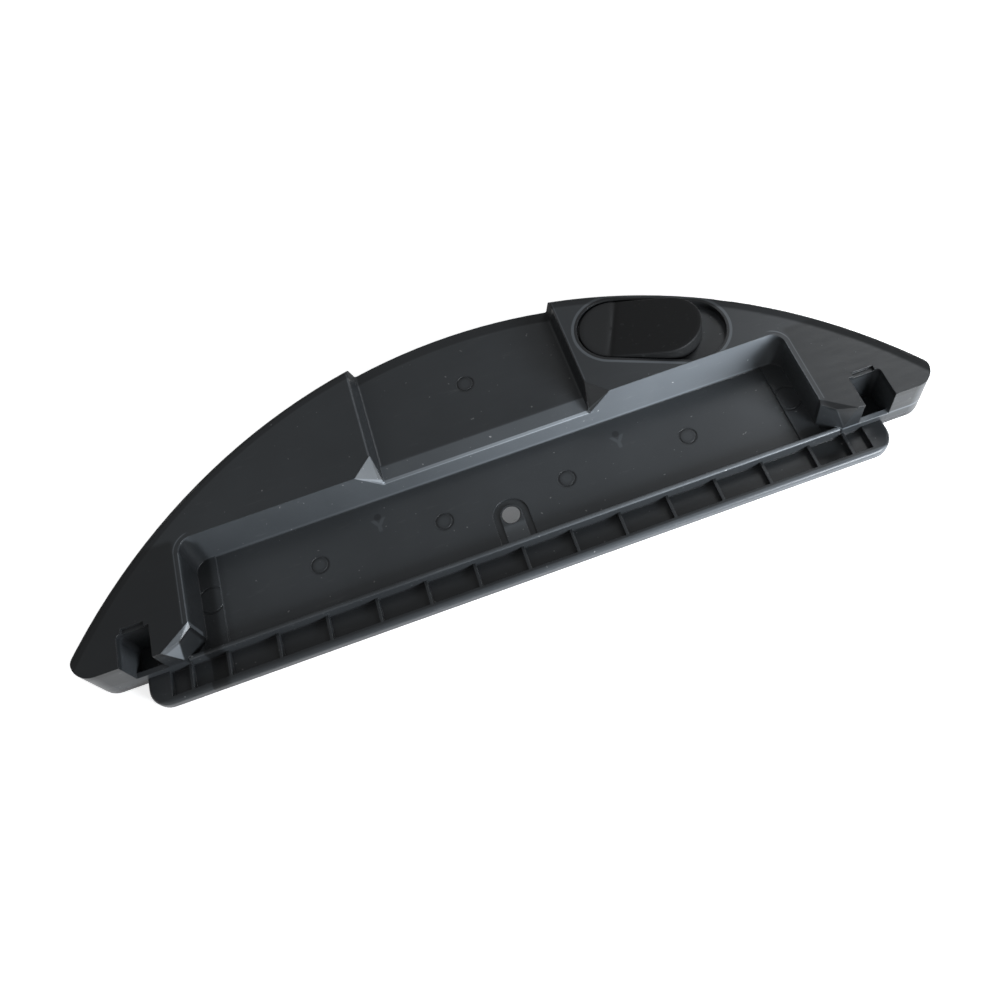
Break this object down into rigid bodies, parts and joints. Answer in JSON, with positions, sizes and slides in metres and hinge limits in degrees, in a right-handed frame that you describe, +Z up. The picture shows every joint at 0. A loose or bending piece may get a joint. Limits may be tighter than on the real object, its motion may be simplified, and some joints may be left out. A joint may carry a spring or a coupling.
{
  "type": "robot vacuum water tank",
  "caption": "Flat crescent-shaped water tank of smoked plastic with a long trough, a ribbed front lip, catch pockets at both ends and a hinged rubber filler stopper",
  "frame": {"origin": "middle of the underside's bounding box", "axes": "+X along the tank, +Y from the straight ribbed lip to the curved back, +Z up"},
  "size_m": [0.281, 0.0944, 0.0222],
  "materials": {
    "smoked_cover": "satin, smoked and slightly see-through",
    "smoked_tray": "satin, smoked",
    "stopper_rubber": "fine matte grain",
    "white_membrane": "matte porous",
    "wick_fibre": "pressed fibre",
    "dark_cap": "matte",
    "hook_tape": "short moulded hooks"
  },
  "bodies": {
    "tank": {"upper_shell": "smoked_cover", "lower_tray": "smoked_tray", "stopper_anchor": "stopper_rubber", "vent_membrane": "white_membrane", "outlet_wick_left": "wick_fibre", "outlet_wick_right": "wick_fibre", "outlet_cap_left": "dark_cap", "outlet_cap_right": "dark_cap", "hook_strip_front": "hook_tape", "hook_strip_back": "hook_tape"},
    "stopper": {"stopper_flap": "stopper_rubber"}
  },
  "joints": [
    {"name": "stopper_hinge", "type": "hinge", "parent": "tank", "child": "stopper", "pos_m": [0.05351, 0.02272, 0.0159], "axis": [-0.4226, -0.9063, 0], "range_deg": [0, 100]}
  ]
}
